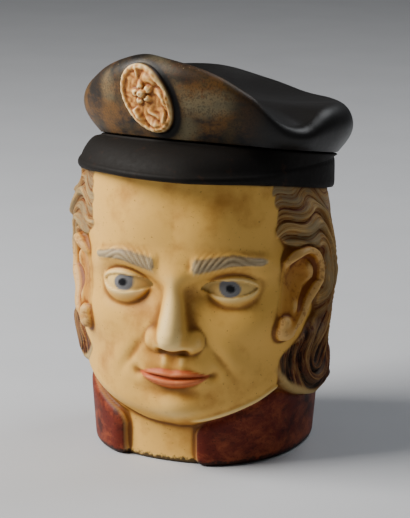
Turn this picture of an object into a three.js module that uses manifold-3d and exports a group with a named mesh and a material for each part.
// A glazed ceramic tobacco jar in the form of a head with a peaked cap.
// The crown of the cap is the lid and lifts off; the head, its collar, hair and the peak are one casting.
// Millimetres, +Z up, the face looks along -Y, the origin is the middle of the base.
import * as THREE from 'three';
import { mergeVertices } from 'three/addons/utils/BufferGeometryUtils.js';
import Module from 'manifold-3d';

const wasm = await Module();
wasm.setup();

// Walls and fits
const wall = 5;
const floorThick = 6;
const footRound = 2.5;
const mouthRadius = 45;
const mouthDepth = 10;
const lidWall = 4.5;
const flangeWall = 4;
const flangeDepth = 7;
const flangeClearance = 0.8;
const seamGap = 0.3;

// Cap: the band, the peak and the seam on which the crown rests
const seamHeight = 144;
const seamRadius = 57;
const seamTilt = 11.2;
const capShift = { x: 2, y: 10 };
const bandHeight = 15;
const bandTaper = 1.2;
const peakReach = 22.8;
const peakEdge = 3.6;

// Crown of the cap, above the middle of the seam
const crownRise = 50;
const crownBulge = 8.2;
const crownEdge = 11;
const crownRound = 9;
const crownDish = 5;

// Oval badge on the front of the crown, with a flower of five petals
const badge = { width: 24.4, height: 35, proud: 2.8, turn: -6.8, rise: 30.4, roll: 34, petal: 4.4 };

// Head: a face of three equal thirds from chin to hairline, turned a little to its own left
const headTurn = 12;
const chinHeight = 22;
const third = 37;
const neckFront = 46.5;
const neckSide = 49;
const neckBack = 50.5;
const headFront = 58;
const headSide = 55.5;
const headBack = 60;
const socketDepth = 6.2;

// Collar
const collar = { front: 20, side: 34.5, back: 27, gapHalf: 20.5, proud: 6.5, corner: 7 };

// Hair and ears
const hairSide = 65;
const lockWidth = 11;
const lockDepth = 3.4;
const ear = { radius: 13.6, lobe: 6.6, plate: 5, helix: 2.6, groove: 3.4, sunk: 3 };

// Width over which the edge of the hair or the collar is rounded
const carvedEdge = 2;

const degree = Math.PI / 180;
const { abs, cos, exp, max, min, sin, sqrt } = Math;

// Curves and bumps
const clamp = (x, low, high) => min(max(x, low), high);
const hump = (x, centre, width) => exp(-(((x - centre) / width) ** 2));
const mix = (a, b, share) => a + (b - a) * share;

function ease(low, high, x) {
  const t = clamp((x - low) / (high - low), 0, 1);
  return t * t * (3 - 2 * t);
}

function softMax(a, b, blend) {
  const h = clamp(0.5 + (0.5 * (a - b)) / blend, 0, 1);
  return b + (a - b) * h + blend * h * (1 - h);
}

// A smooth curve through [place, value] pairs, which closes on itself when a period is given
function curve(pairs, period = 0) {
  const keys = period
    ? [
        ...pairs.slice(-2).map(([x, v]) => [x - period, v]),
        ...pairs,
        ...pairs.slice(0, 3).map(([x, v]) => [x + period, v]),
      ]
    : pairs;
  const last = keys.length - 1;
  const slopes = keys.map(([x, v], i) => {
    if (i === 0) return (keys[1][1] - v) / (keys[1][0] - x);
    if (i === last) return (v - keys[i - 1][1]) / (x - keys[i - 1][0]);
    const before = x - keys[i - 1][0];
    const after = keys[i + 1][0] - x;
    const rise = (keys[i + 1][1] - v) / after;
    const run = (v - keys[i - 1][1]) / before;
    return (rise * before + run * after) / (before + after);
  });
  return (place) => {
    const start = pairs[0][0];
    const x = period
      ? start + ((((place - start) % period) + period) % period)
      : clamp(place, keys[0][0], keys[last][0]);
    let i = 0;
    while (i < last - 1 && x >= keys[i + 1][0]) i += 1;
    const step = keys[i + 1][0] - keys[i][0];
    const t = (x - keys[i][0]) / step;
    return (
      (2 * t ** 3 - 3 * t ** 2 + 1) * keys[i][1] +
      (t ** 3 - 2 * t ** 2 + t) * step * slopes[i] +
      (3 * t ** 2 - 2 * t ** 3) * keys[i + 1][1] +
      (t ** 3 - t ** 2) * step * slopes[i + 1]
    );
  };
}

// Radius of a rounded section with its own front, side and back
function section(angle, front, side, back, power) {
  const s = abs(sin(angle)) / side;
  const c = abs(cos(angle)) / (cos(angle) > 0 ? front : back);
  return (s ** power + c ** power) ** (-1 / power);
}

// Radius about the jar's axis of a circle about the cap's centre
function capRing(angle, radius) {
  const along = sin(angle) * capShift.x - cos(angle) * capShift.y;
  const rest = capShift.x ** 2 + capShift.y ** 2 - radius ** 2;
  return along + sqrt(along ** 2 - rest);
}

// Heights of the face's lines
const noseBase = chinHeight + third;
const browLine = chinHeight + 2 * third;
const eyeLine = chinHeight + 1.78 * third;
const mouthLine = noseBase - third / 3;

// Smooth head and neck, as shares of the named sizes by height
const frontShare = curve([
  [18, 0.862], [28, 0.966], [42, 1], [60, 0.991], [80, 0.966], [100, 1], [150, 0.966],
]);
const sideShare = curve([
  [18, 0.883], [30, 0.919], [45, 0.964], [65, 1], [90, 1], [110, 0.973], [150, 0.937],
]);
const backShare = curve([[0, 0.917], [30, 0.95], [60, 0.967], [100, 1], [150, 1.033]]);
const jawLine = curve([[0, -3], [20, -1.5], [40, 4], [58, 11], [72, 19], [86, 26], [110, 18], [180, 12]]);

function headRadius(angle, z) {
  return section(angle, headFront * frontShare(z), headSide * sideShare(z), headBack * backShare(z), 2.25);
}

function neckRadius(angle) {
  return section(angle, neckFront, neckSide, neckBack, 2.2);
}

function bodyRadius(angle, z) {
  const fromChin = angle / degree - headTurn * ease(80, 30, abs(angle) / degree);
  const above = clamp((z - chinHeight - jawLine(abs(fromChin))) / 11, 0, 1);
  const share = (1 - (1 - above) ** 2.2) ** 0.75;
  return mix(neckRadius(angle), headRadius(angle, z), share);
}

// Brow, sockets, cheeks, muzzle and chin of the face
function faceForms(x, z) {
  const off = abs(x);
  const ridge = browLine - 1 + 2.5 * hump(off, 27, 14) - 2 * hump(off, 0, 10);
  const fold = 13.5 + (noseBase + 7 - z) * 0.6;
  return (
    1.6 * hump(off, 16, 13) * hump(z, browLine + 22, 13) -
    1.5 * hump(off, 47, 9) * hump(z, browLine + 12, 18) +
    2.6 * hump(z, ridge, 5.5) * ease(46, 34, off) * (1 - 0.35 * hump(off, 0, 7)) -
    socketDepth * hump(off, 21, 14) * hump(z, eyeLine + 0.5, 9.5) +
    2.6 * hump(off, 36, 13) * hump(z, noseBase + 12, 11) -
    1.4 * hump(off, 41, 10) * hump(z, noseBase - 9, 12) +
    3 * hump(off, 0, 22) * hump(z, mouthLine + 1, 15) +
    3.4 * hump(off, 0, 12) * hump(z, chinHeight + 7, 8) -
    1.8 * hump(off, 0, 13) * hump(z, chinHeight + 17, 3.8) -
    0.9 * hump(off, fold, 2.4) * hump(z, noseBase - 4, 9) +
    0.7 * hump(off, fold + 6, 4.5) * hump(z, noseBase - 4, 10)
  );
}

// Eyeballs set in the sockets between two lids
const eye = { spread: 23, half: 12, radius: 12.5, depth: 40.8, lid: 1.8, open: 5, low: 4, deepest: 2.4 };

function withEyes(angle, z, radius) {
  let out = radius;
  for (const side of [-1, 1]) {
    const centre = side * eye.spread;
    const along = centre * sin(angle) + eye.depth * cos(angle);
    const ball = (size) => {
      const inside = along ** 2 - (centre ** 2 + eye.depth ** 2 + (z - eyeLine) ** 2 - size ** 2);
      return inside > 0 && along > 0 ? along + sqrt(inside) : 0;
    };
    const x = radius * sin(angle) - centre;
    const u = (side * x) / eye.half;
    const top = eyeLine + 0.8 * u + eye.open * max(1 - abs(u + 0.08) ** 2.4, 0) ** 0.85;
    const bottom = eyeLine + 0.8 * u - eye.low * max(1 - abs(u - 0.1) ** 2.2, 0) ** 0.9;
    const cover = ease(0.5, -0.5, min(top - z, z - bottom));
    const lids = softMax(out, ball(eye.radius + eye.lid), 1.6);
    const target = mix(max(ball(eye.radius), lids - eye.deepest), lids, cover);
    const reach = sqrt((x / 17) ** 2 + ((z - eyeLine) / 12) ** 2);
    out = mix(out, target, ease(1.15, 0.95, reach));
  }
  return out;
}

// Nose: a ridge that widens to its wings
const noseRidge = curve([
  [-4, 0], [-2, 1], [0, 5.5], [2, 11], [5, 15], [8.5, 16], [13, 14.6], [19, 11.8], [26, 8.6], [32, 6],
  [37, 4.4], [43, 2.4], [49, 0],
]);
const noseWidth = curve([[-4, 7.5], [1, 8], [6, 8.4], [13, 7.2], [23, 6.4], [31, 6.6], [39, 9], [49, 13]]);

function noseHeight(x, z) {
  const up = z - noseBase;
  let height = noseRidge(up) * exp(-(abs(x / noseWidth(up)) ** 2.3));
  for (const side of [-1, 1]) {
    const off = x - side * 7.2;
    const wing = 6.6 * max(1 - (off / 7) ** 2 - ((up - 4.8) / 6.6) ** 2, 0) ** 0.85;
    height = softMax(height, wing, 6) - 0.7 * ease(14, 9, abs(x)) * hump(up, 4, 6);
    height -= 2.8 * hump(off, -side * 2.6, 2.3) * hump(up, -0.4, 1.6);
  }
  return max(height, -0.6);
}

// Lips, full near the mouth's line, their corners and the groove above them
const mouth = { half: 16.5, upper: 4.3, lower: 5.4, upperFull: 2.3, lowerFull: 2.9 };

function mouthHeight(x, z) {
  const u = min(abs(x) / mouth.half, 1.3);
  const line = mouthLine + 0.7 * u ** 2 - 0.4 * hump(x, 0, 5);
  const top = line + mouth.upper * max(1 - u ** 2, 0);
  const bottom = line - mouth.lower * max(1 - u ** 2.3, 0);
  const above = clamp((top - z) / max(top - line, 0.4), 0, 1);
  const below = clamp((line - z) / max(line - bottom, 0.4), 0, 1);
  const taper = max(1 - u ** 2.4, 0);
  return (
    mouth.upperFull * taper * sin(Math.PI * above ** 1.5) +
    mouth.lowerFull * taper * sin(Math.PI * below ** 0.8) -
    1.4 * hump(z, line, 1.2) * ease(1.12, 0.85, u) -
    1.3 * hump(abs(x), mouth.half + 1.2, 2.8) * hump(z, line, 2.8) -
    0.6 * hump(x, 0, 2.2) * hump(z, noseBase - 5, 4)
  );
}

// Brows: a tapered tuft along an arch over each eye
const brow = { rise: 3, arch: 3.2, start: 8, end: 42, thick: 4.2, thin: 2, proud: 1.9 };

function browHeight(x, z) {
  const off = abs(x);
  const above = z - browLine - brow.rise - brow.arch * hump(off, 27, 13);
  const thick = mix(brow.thick, brow.thin, ease(12, brow.end, off));
  const tuft = exp(-(abs(above / thick) ** 2.6));
  return brow.proud * tuft * ease(-1, 3, off - brow.start) * ease(1, -4, off - brow.end);
}

// Hair: a thick cap of combed locks from the temples round the back
const hairRound = curve(
  [
    [-180, 0.946], [-150, 0.954], [-116, 0.985], [-95, 1.008], [-78, 1], [-64, 0.954], [-50, 0.908],
    [0, 0.892], [50, 0.877], [64, 0.923], [78, 0.962], [92, 0.966], [116, 0.942], [150, 0.931],
  ],
  360,
);
const hairRise = curve([
  [23, -3.6], [34, -1.2], [43, -1.2], [51, -2.2], [61, -1.8], [68, -1], [76, 0.6], [84, 1.4], [95, 1],
  [106, 0.2], [112, -0.2], [123, -1.8], [140, -2.5],
]);
const hairStart = curve([
  [22, 68], [34, 56], [44, 51.5], [54, 54], [60, 66], [66, 78], [76, 80], [90, 79], [98, 74], [104, 60],
  [108, 52], [120, 49], [150, 47],
]);
const hairHem = curve([[48, 46], [56, 36], [64, 31], [72, 28], [88, 28.5], [104, 27], [180, 26]]);
const hemLift = 10;

// The hair stands out further on the head's right, above and below the ear
const hairLean = (angle, z) =>
  (0.6 - 1.9 * sin(angle)) * ease(98, 112, z) + 3.2 * max(-sin(angle), 0) * hump(z, 57, 11);

// Middles of the rings round the ear and of the curl below it, the distance at which the two meet, and the
// distance from the ear's middle at which the rings of both sides join at the nape
const locks = {
  ringAcross: 67.5,
  ringRise: eyeLine - 4,
  curlAcross: 76.5,
  curlRise: chinHeight + 24,
  meet: 37,
  nape: 97,
};

// Height of the locks: rings round the ear, slanted loops about the curl below it, and lines at the nape
function lockHeight(angle, z) {
  const across = abs(angle) * 60;
  const side = angle < 0 ? 2.1 : 0;
  const sway = sin(across * 0.062 + z * 0.05 + 0.4 + side) + sin(across * 0.031 - z * 0.083 + side);
  const away = across - locks.ringAcross;
  const rise = z - locks.ringRise;
  const wave = 2.4 * sin(away * 0.23 + rise * 0.05 + side) * ease(10, 20, rise);
  const rings = sqrt(away ** 2 + (0.95 * rise) ** 2) + wave;
  const back = across - locks.curlAcross;
  const up = z - locks.curlRise;
  const along = (back + up) / Math.SQRT2;
  const aside = (up - back) / Math.SQRT2;
  const loops = locks.meet - sqrt(aside ** 2 + min(along, 0) ** 2) + 0.8 * sin(along * 0.21);
  const beside = mix(rings, loops, ease(2, -20, rise)) + 0.7 * sway;
  const fromBack = (((angle + 2 * Math.PI) % (2 * Math.PI)) - Math.PI) * 60;
  const nape = locks.nape + 0.7 * fromBack + 2.2 * sin(z * 0.07 + fromBack * 0.05);
  const field = mix(angle < 0 ? 2 * locks.nape - beside : beside, nape, ease(88, 140, across));
  const share = field / lockWidth;
  const lock = sin(Math.PI * (share - Math.floor(share)) ** 0.75) ** 0.75;
  return lockDepth * (lock - 0.6) * (1 - 0.6 * hump(across, 112, 12));
}

function withHair(angle, z, radius) {
  const inward = (abs(angle) - hairStart(z) * degree) * 60;
  const upward = z - hairHem(abs(angle) / degree) - hemLift * max(-sin(angle), 0);
  const edge = min(inward, upward);
  const bulk = sqrt(max(1 - (1 - clamp(edge / 6.5, 0, 1)) ** 2, 0));
  const full = hairSide * hairRound(angle / degree + headTurn) + hairRise(z) + hairLean(angle, z);
  const combed = max(radius, radius + (full - radius) * bulk + lockHeight(angle, z) * bulk);
  return mix(radius, combed, ease(-carvedEdge, carvedEdge, inward) * ease(-carvedEdge, carvedEdge, upward));
}

// Ears: a circle that tapers to the lobe's circle; u runs to the back and v up, in mm on the head
const earMiddle = { across: 66.5, rise: eyeLine + 3 };
const lobeMiddle = { across: 53, rise: noseBase + 7.5 };
const earDown = { u: lobeMiddle.across - earMiddle.across, v: lobeMiddle.rise - earMiddle.rise };
const earSize = (t) => mix(ear.radius, ear.lobe - 1, t ** 0.75);

// Share down to the lobe, depth inside the outline, and how far the place belongs to the ear's open front
function earPlace(u, v) {
  const t = clamp((u * earDown.u + v * earDown.v) / (earDown.u ** 2 + earDown.v ** 2), 0, 1);
  const fromU = u - t * earDown.u;
  const depth = earSize(t) - sqrt(fromU ** 2 + (v - t * earDown.v) ** 2);
  const front = ease(0.25, -0.6, fromU / earSize(t)) * ease(12, 1, v) * ease(1.05, 0.8, t);
  return { t, depth, front };
}

// The head is pressed in under an ear, and hollowed before it
function withEarSeat(side, angle, z, radius) {
  const u = side * angle * 60 - earMiddle.across;
  const v = z - earMiddle.rise;
  const { depth, front } = earPlace(u, v);
  const seat = mix(radius, min(radius, headRadius(angle, z) - 0.5), ease(0, 3, depth) * (1 - front));
  return seat - 2.6 * exp(-((((u + 2.5) / 6) ** 2 + ((v + 5) / 9) ** 2) ** 1.2));
}

// Height of the rolled rim, the groove inside it and the lobe
function earHeight(u, v) {
  const { t, depth, front } = earPlace(u, v);
  const lobeAway = ((u - earDown.u) ** 2 + (v - earDown.v) ** 2) / (ear.lobe + 0.6) ** 2;
  const carved =
    ear.plate * (1 - front) +
    ear.helix * hump(depth, 2.4, 2.1) * (1 - front) * ease(1.02, 0.8, t) -
    mix(0.5, 1, ease(0.5, 0.1, t)) * ear.groove * hump(depth, 6, 2) * (1 - front) * ease(0.8, 0.55, t) -
    2.6 * exp(-((((u + 2.5) / 6) ** 2 + ((v + 5) / 9) ** 2) ** 1.2));
  return softMax(carved, 7 * sqrt(max(1 - lobeAway, 0)), 3) - front;
}

// Stand-up collar, open at the throat and flared towards its top at the back
const collarTop = curve([
  [0, collar.front], [20, collar.front + 1.5], [49, mix(collar.front, collar.side, 0.69)], [65, collar.side],
  [81, mix(collar.back, collar.side, 0.25)], [92, collar.back], [180, collar.back],
]);

function withCollar(angle, z, radius) {
  const inside = (abs(angle) - collar.gapHalf * degree) * 50;
  const flare = clamp(z / 20, 0, 1.8);
  const front = neckFront + collar.proud + 1 + 0.5 * flare;
  const side = neckSide + 0.6 * collar.proud - 1.5 - 1.1 * sin(angle) + 1.6 * flare;
  const back = neckBack + 0.3 * collar.proud + 2.5 * flare;
  const full = section(angle, front, side, back, 2.2);
  const fromEnd = collar.corner - clamp(inside, -5, collar.corner);
  const fromTop = collar.corner - clamp(collarTop(abs(angle) / degree) - z, -5, collar.corner);
  const fromFoot = collar.corner - clamp(z + 2, 0, collar.corner);
  const depth = collar.corner - sqrt(fromEnd ** 2 + max(fromTop, fromFoot) ** 2);
  const rounding = 1 - 0.28 * (1 - clamp(depth / 6, 0, 1)) ** 2;
  const paint = ease(-0.6 * carvedEdge, 0.8 * carvedEdge, depth);
  return mix(radius, mix(neckRadius(angle), full, rounding), paint);
}

// Seam plane and the underside of the band and peak
const seamAt = (y) => seamHeight - (y - capShift.y) * Math.tan(seamTilt * degree);
const bandLow = (angle) => seamHeight - bandHeight + seamRadius * Math.tan(seamTilt * degree) * cos(angle);
const peakShare = curve([
  [-180, 0], [-104, 0], [-97, 0.035], [-88, 0.154], [-78, 0.329], [-63, 0.535], [-50, 0.658], [-38, 0.737],
  [-22, 0.833], [-5, 0.965], [8, 1], [18, 0.978], [30, 0.811], [45, 0.539], [60, 0.263], [74, 0.079],
  [84, 0.013], [92, 0], [180, 0],
]);
const peakEdgeShare = curve([[0, 1], [35, 1.17], [60, 1.72], [82, 2.64], [100, 3.47], [116, 4], [180, 4.17]]);

function peakRadius(angle) {
  return capRing(angle, seamRadius - bandTaper) + peakReach * max(peakShare(angle / degree), 0);
}

// Outer radius of the casting from its foot to the band
function skinRadius(angle, z) {
  const facing = Math.atan2(sin(angle - headTurn * degree), cos(angle - headTurn * degree));
  const aside = abs(facing) / degree;
  const x = headRadius(angle, z) * sin(facing);
  let radius = bodyRadius(angle, z);
  radius += faceForms(radius * sin(facing), z) * ease(80, 62, aside);
  radius = withEyes(facing, z, radius);
  radius += (noseHeight(x, z) + mouthHeight(x, z) + browHeight(x, z)) * ease(75, 60, aside);
  radius = withHair(facing, z, radius);
  radius = withEarSeat(-1, facing, z, radius);
  radius = withEarSeat(1, facing, z, radius);
  radius = withCollar(angle, z, radius);
  radius -= 0.7 * footRound * (1 - sqrt(1 - (1 - clamp(z / footRound, 0, 1)) ** 2));
  const tuck = ease(12, 1, bandLow(angle) - z);
  return mix(radius, min(radius, peakRadius(angle) - 1.5), tuck);
}

// Inner radius of the casting below its mouth
function innerRadius(angle, z) {
  const low = ease(24, 46, z);
  const front = mix(neckFront, headFront * 0.966 - socketDepth, low) - wall;
  const side = mix(neckSide, headSide * 0.937, low) - wall;
  const back = mix(neckBack, headBack * 0.95, low) - wall;
  return section(angle, front, side, back, 2.2);
}

// A closed shell from rows of points, each row one ring, with a point at both ends
function shell(rings, first, last) {
  const count = rings[0].length;
  const points = [first, ...rings.flat(), last];
  const faces = [];
  const at = (row, column) => 1 + row * count + (column % count);
  for (let column = 0; column < count; column += 1) {
    faces.push(0, at(0, column + 1), at(0, column));
    for (let row = 0; row < rings.length - 1; row += 1) {
      faces.push(at(row, column), at(row, column + 1), at(row + 1, column + 1));
      faces.push(at(row, column), at(row + 1, column + 1), at(row + 1, column));
    }
    faces.push(at(rings.length - 1, column), at(rings.length - 1, column + 1), points.length - 1);
  }
  const numbers = points.flatMap((p) => [p.x, p.y, p.z]);
  const geometry = new THREE.BufferGeometry();
  geometry.setAttribute('position', new THREE.Float32BufferAttribute(numbers, 3));
  geometry.setIndex(faces);
  geometry.computeVertexNormals();
  return geometry;
}

const polar = (angle, radius, z) => new THREE.Vector3(radius * sin(angle), -radius * cos(angle), z);

// Evenly stepped values from one stop to the next, the stops kept
function steps(stops) {
  const values = [];
  stops.forEach(([from, to, count]) => {
    for (let i = 0; i < count; i += 1) values.push(mix(from, to, i / count));
  });
  return values;
}

// Columns are close on the face and the locks beside it and wider at the back
const columns = steps([
  [-180, -84, 11], [-84, -30, 12], [-30, 54, 26], [54, 104, 11], [104, 180, 9],
]).map((angle) => angle * degree);

// Rows rise as shares of the height, close at the lips, nose and eyes; one of them follows the collar's top
const collarRow = 0.2;
const rowShares = [0, 0.009, 0.02].concat(
  steps([
    [0.07, 0.18, 2], [0.18, 0.22, 2], [0.22, 0.46, 9], [0.46, 0.58, 3], [0.58, 0.74, 7], [0.74, 0.96, 5],
  ]),
  [0.96, 1],
);

function rowHeight(angle, share) {
  const top = collarTop(abs(angle) / degree);
  if (share < collarRow) return (top * share) / collarRow;
  return mix(top, bandLow(angle), (share - collarRow) / (1 - collarRow));
}

// Mean of the skin's radius over the patch round one corner of the mesh, so that fine carving stays smooth;
// the patch reaches this share of the way to the next corners
const patchReach = 0.35;

function patchRadius(column, row) {
  const last = columns.length - 1;
  const angle = columns[column];
  const before = column > 0 ? columns[column - 1] : columns[last] - 2 * Math.PI;
  const after = column < last ? columns[column + 1] : columns[0] + 2 * Math.PI;
  const share = rowShares[row];
  const below = rowShares[max(row - 1, 0)];
  const above = rowShares[min(row + 1, rowShares.length - 1)];
  let sum = 0;
  for (const [sideways, weight] of [[before, 1], [angle, 2], [after, 1]]) {
    for (const [upward, factor] of [[below, 1], [share, 2], [above, 1]]) {
      const aim = mix(angle, sideways, patchReach);
      sum += weight * factor * skinRadius(aim, rowHeight(aim, mix(share, upward, patchReach)));
    }
  }
  return sum / 16;
}

// One ear: rings from its sunk underside over the rim to its middle, each round the top and the lobe
function earGeometry(side) {
  const lean = Math.atan2(earDown.v, earDown.u);
  const quarter = Math.PI / 2;
  const around = [];
  for (let i = 0; i <= 10; i += 1) around.push({ t: 0, turn: lean + quarter + (Math.PI * i) / 10 });
  for (let i = 1; i < 4; i += 1) around.push({ t: i / 4, turn: lean - quarter });
  for (let i = 0; i <= 6; i += 1) around.push({ t: 1, turn: lean - quarter + (Math.PI * i) / 6 });
  for (let i = 3; i > 0; i -= 1) around.push({ t: i / 4, turn: lean + quarter });
  if (side < 0) around.reverse();
  const pointAt = (u, v, lift) => {
    const facing = (side * (u + earMiddle.across)) / 60;
    const angle = facing + headTurn * degree;
    const z = v + earMiddle.rise;
    const { front } = earPlace(u, v);
    return polar(angle, mix(headRadius(facing, z) + 0.8, skinRadius(angle, z), front) + lift(u, v), z);
  };
  const ring = (share, lift) =>
    around.map(({ t, turn }) => {
      const reach = earSize(t) * share;
      return pointAt(t * earDown.u + reach * cos(turn), t * earDown.v + reach * sin(turn), lift);
    });
  const under = () => -ear.sunk;
  const edge = (u, v) => 0.6 * earHeight(u, v);
  const rings = [ring(0.6, under), ring(1, under), ring(0.985, edge)];
  for (const share of [0.93, 0.83, 0.7, 0.56, 0.4, 0.18]) rings.push(ring(share, earHeight));
  const middle = [0.5 * earDown.u, 0.5 * earDown.v];
  return shell(rings, pointAt(...middle, under), pointAt(...middle, earHeight));
}

function castingGeometry() {
  const rows = [];
  const addRow = (point) => rows.push(columns.map(point));
  const rim = (angle) => capRing(angle, seamRadius);
  const seamZ = (angle) => seamAt(-rim(angle) * cos(angle));
  rowShares.forEach((share, row) => {
    addRow((angle, column) => {
      const z = rowHeight(angle, share);
      return polar(angle, row < 3 ? skinRadius(angle, z) : patchRadius(column, row), z);
    });
  });
  const edgeHeight = (angle) => peakEdge * peakEdgeShare(abs(angle) / degree);
  const edgeTop = (angle) => min(bandLow(angle) + edgeHeight(angle), seamZ(angle) - 1.6);
  addRow((angle) => polar(angle, peakRadius(angle) - 0.9, bandLow(angle) + 0.05));
  addRow((angle) => polar(angle, peakRadius(angle), bandLow(angle) + 0.9));
  addRow((angle) => polar(angle, peakRadius(angle) + 0.2, mix(bandLow(angle) + 0.9, edgeTop(angle), 0.7)));
  addRow((angle) => polar(angle, mix(peakRadius(angle), rim(angle), 0.07), edgeTop(angle)));
  addRow((angle) => {
    const z = mix(edgeTop(angle), seamZ(angle) - 1, 0.55) + min(0.3 * (peakRadius(angle) - rim(angle)), 3);
    return polar(angle, mix(peakRadius(angle), rim(angle), 0.55), z);
  });
  addRow((angle) => polar(angle, rim(angle), seamZ(angle) - 1));
  const onSeam = (radius, drop) => (angle) => {
    const out = capRing(angle, radius);
    return polar(angle, out, seamAt(-out * cos(angle)) - drop);
  };
  addRow(onSeam(seamRadius - 1, 0));
  addRow(onSeam(mouthRadius, 0));
  addRow(onSeam(mouthRadius, mouthDepth));
  const ledge = (angle) => seamAt(-capRing(angle, mouthRadius) * cos(angle)) - mouthDepth;
  addRow((angle) => {
    const z = ledge(angle) - wall;
    return polar(angle, mix(capRing(angle, mouthRadius), innerRadius(angle, z), 0.7), z);
  });
  for (const share of [1, 0.5, 0]) {
    addRow((angle) => {
      const z = mix(floorThick + 4, ledge(angle) - 2.2 * wall, share);
      return polar(angle, innerRadius(angle, z), z);
    });
  }
  addRow((angle) => polar(angle, innerRadius(angle, floorThick) - 4, floorThick));
  return shell(rows, new THREE.Vector3(0, 0, 0), new THREE.Vector3(0, 0, floorThick));
}

// Crown: the height of its upper edge, the swell of its wall and the roundness of its edge, as shares of
// the named sizes by angle
const crownTopShare = curve(
  [
    [-180, 0.46], [-153, 0.58], [-120, 0.6], [-90, 0.6], [-64, 0.66], [-49, 0.76], [-39, 0.85], [-28, 0.93],
    [-12, 1], [0, 0.98], [11, 0.94], [20, 0.888], [28, 0.82], [36, 0.72], [43, 0.62], [47, 0.536], [52, 0.44],
    [58.5, 0.36], [69, 0.33], [75.5, 0.38], [82.6, 0.43], [97.5, 0.45], [116, 0.41], [135, 0.38], [160, 0.38],
  ],
  360,
);
const crownSwell = curve(
  [
    [-180, 0.793], [-120, 0.915], [-64, 1], [-40, 0.793], [-12, 0.488], [15, 0.366], [40, 0.488], [60, 0.61],
    [80, 0.671], [116, 0.915], [150, 0.793],
  ],
  360,
);
const crownCrease = curve(
  [[-180, 1], [-35, 1], [-5, 0.8], [22, 0.5], [50, 0.45], [72, 0.7], [100, 1], [150, 1]],
  360,
);
const crownTop = (angle) => seamHeight + crownRise * crownTopShare(angle / degree);
const capCentre = new THREE.Vector3(capShift.x, capShift.y, 0);
const crownPolar = (angle, radius, z) => polar(angle, radius, z).add(capCentre);

// Mean plane of the upper edge, on which the dished top lies
const round = Array.from({ length: 360 }, (_, i) => i * degree);
const meanOf = (value) => round.reduce((sum, angle) => sum + value(angle), 0) / round.length;
const topMean = meanOf(crownTop);
const topFront = 2 * meanOf((angle) => crownTop(angle) * cos(angle));
const topLeft = 2 * meanOf((angle) => crownTop(angle) * sin(angle));

// Wall, rounded edge and top of the crown at one angle, less a thickness all over
function crownProfile(angle, thick) {
  const seat = seamAt(capShift.y - seamRadius * cos(angle)) + seamGap;
  const top = crownTop(angle);
  const crease = crownCrease(angle / degree);
  const edge = min(crownEdge * crease, 0.45 * (top - seat));
  const corner = min(crownRound * crease, 0.5 * (top - seat));
  const swell = seamRadius + crownBulge * crownSwell(angle / degree);
  const wallAt = (share) => ({
    radius: mix(seamRadius, swell, sin((share * Math.PI) / 2)) - thick,
    z: mix(seat, top - edge, share),
  });
  const edgeAt = (share) => {
    const turn = (share * Math.PI) / 2;
    return {
      radius: swell - corner * (1 - cos(turn)) - thick * (share < 1 ? 1 : 1.2),
      z: top - edge + edge * sin(turn) - thick * sin(turn),
    };
  };
  const topAt = (share) => {
    const slope = topFront * cos(angle) + topLeft * sin(angle);
    const rest = top - (topMean - crownDish) - slope;
    return {
      radius: (swell - corner - 1.2 * thick) * share,
      z: topMean - crownDish + slope * share + rest * share ** 2.6 - thick,
    };
  };
  return { seat, wallAt, edgeAt, topAt };
}

function crownGeometry() {
  const angles = steps([[-180, -60, 10], [-60, 84, 21], [84, 180, 8]]).map((a) => a * degree);
  const rows = [];
  const addRow = (point) => rows.push(angles.map(point));
  const addProfile = (thick, part, share) =>
    addRow((angle) => {
      const { radius, z } = crownProfile(angle, thick)[part](share);
      return crownPolar(angle, radius, z);
    });
  const onSeat = (radius, lift) => (angle) =>
    crownPolar(angle, radius, seamAt(capShift.y - radius * cos(angle)) + seamGap + lift);
  const plug = mouthRadius - flangeClearance;
  const wallShares = [0.25, 0.55, 1];
  const edgeShares = [0.35, 0.7, 1];
  const topShares = [0.8, 0.5, 0.22];
  for (const share of topShares.toReversed()) addProfile(lidWall, 'topAt', share);
  for (const share of [1, 0.6]) addProfile(lidWall, 'edgeAt', share);
  for (const share of [1, 0.7]) addProfile(lidWall, 'wallAt', share);
  addRow(onSeat(seamRadius - lidWall - 1, lidWall));
  addRow(onSeat(plug - flangeWall, 0.5));
  addRow(onSeat(plug - flangeWall, -flangeDepth));
  addRow(onSeat(plug - 0.6, -flangeDepth));
  addRow(onSeat(plug, -flangeDepth + 1));
  addRow(onSeat(plug, 0));
  addRow(onSeat(seamRadius - 0.8, 0));
  addRow(onSeat(seamRadius, 0.6));
  for (const share of wallShares) addProfile(0, 'wallAt', share);
  for (const share of edgeShares) addProfile(0, 'edgeAt', share);
  for (const share of topShares) addProfile(0, 'topAt', share);
  const inner = new THREE.Vector3(capShift.x, capShift.y, topMean - crownDish - lidWall);
  const outer = new THREE.Vector3(capShift.x, capShift.y, topMean - crownDish);
  return shell(rows, inner, outer);
}

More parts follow.
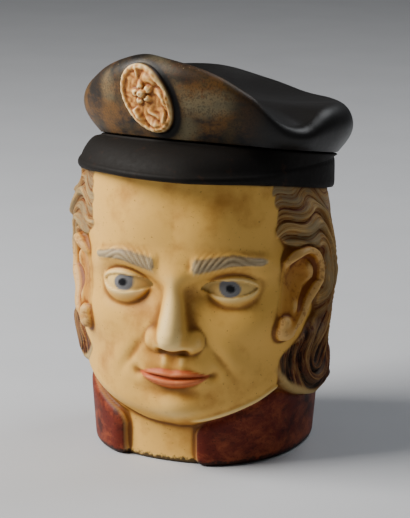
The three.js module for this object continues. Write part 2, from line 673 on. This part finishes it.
// Badge: an oval plate with a flower, its stem and two sprays of leaves, sunk a little in the wall
function badgeSolids() {
  const frame = new THREE.Matrix4();
  const angle = badge.turn * degree;
  const { wallAt, edgeAt, seat } = crownProfile(angle, 0);
  const height = seamHeight + badge.rise;
  const share = min((height - seat) / (wallAt(1).z - seat), 1);
  const low = wallAt(share - 0.3);
  const high = edgeAt(0.45);
  const centre = crownPolar(angle, wallAt(share).radius, height);
  const upward = crownPolar(angle, high.radius, high.z).sub(crownPolar(angle, low.radius, low.z)).normalize();
  const across = new THREE.Vector3(cos(angle), sin(angle), 0);
  const outward = new THREE.Vector3().crossVectors(across, upward);
  frame.makeBasis(across, upward, outward).setPosition(centre);
  frame.multiply(new THREE.Matrix4().makeRotationZ(badge.roll * degree));
  const sunk = -3;
  const dome = (width, tall, to, sides, x = 0, y = 0, turn = 0) => {
    const profile = [
      new THREE.Vector2(0, sunk), new THREE.Vector2(0.5, sunk), new THREE.Vector2(0.5, 0.7 * to),
      new THREE.Vector2(0.38, to), new THREE.Vector2(0, to),
    ];
    const body = new THREE.LatheGeometry(profile, sides).rotateX(Math.PI / 2);
    return body.scale(width, tall, 1).rotateZ(turn).translate(x, y, 0).applyMatrix4(frame);
  };
  const solids = [dome(badge.width, badge.height, badge.proud, 26)];
  const flower = 0.1 * badge.height;
  solids.push(dome(badge.petal, badge.petal, badge.proud + 1.8, 6, 0, flower));
  for (const petal of [0, 1, 2, 3, 4]) {
    const around = (90 + 72 * petal) * degree;
    const x = 0.95 * badge.petal * cos(around);
    const y = flower + 0.95 * badge.petal * sin(around);
    solids.push(dome(badge.petal, 1.3 * badge.petal, badge.proud + 1.4, 6, x, y, around - 90 * degree));
  }
  solids.push(dome(2.4, 0.36 * badge.height, badge.proud + 1, 6, 0, -0.2 * badge.height));
  for (const side of [-1, 1]) {
    for (const step of [0, 1, 2]) {
      const around = (250 - 38 * step) * degree;
      const x = side * 0.34 * badge.width * cos(around);
      const y = 0.36 * badge.height * sin(around);
      solids.push(dome(3.6, 8, badge.proud + 1.2, 6, x, y, side * (around - 100 * degree)));
    }
  }
  return solids;
}

// Closed mesh to solid and back, to weld the ears to the head and the badge to the crown
function toSolid(geometry) {
  const bare = geometry.clone();
  bare.deleteAttribute('normal');
  bare.deleteAttribute('uv');
  const merged = mergeVertices(bare, 1e-4);
  const vertProperties = merged.attributes.position.array;
  return new wasm.Manifold(new wasm.Mesh({ numProp: 3, vertProperties, triVerts: merged.index.array }));
}

function toGeometry(solid) {
  const mesh = solid.getMesh();
  const geometry = new THREE.BufferGeometry();
  geometry.setAttribute('position', new THREE.BufferAttribute(mesh.vertProperties, 3));
  geometry.setIndex(new THREE.BufferAttribute(mesh.triVerts, 1));
  geometry.computeVertexNormals();
  return geometry;
}

function welded(body, pieces) {
  return toGeometry(pieces.reduce((whole, piece) => whole.add(toSolid(piece)), toSolid(body)));
}

// One piece of the jar in its glaze
function glazed(name, geometry, color, roughness) {
  const mesh = new THREE.Mesh(geometry, new THREE.MeshStandardMaterial({ color, roughness, metalness: 0 }));
  mesh.name = name;
  return mesh;
}

const tobaccoJar = new THREE.Group();
tobaccoJar.add(glazed('jar', welded(castingGeometry(), [earGeometry(-1), earGeometry(1)]), 0xe0cc9c, 0.45));
tobaccoJar.add(glazed('lid', welded(crownGeometry(), badgeSolids()), 0x3a302a, 0.4));

export default tobaccoJar;
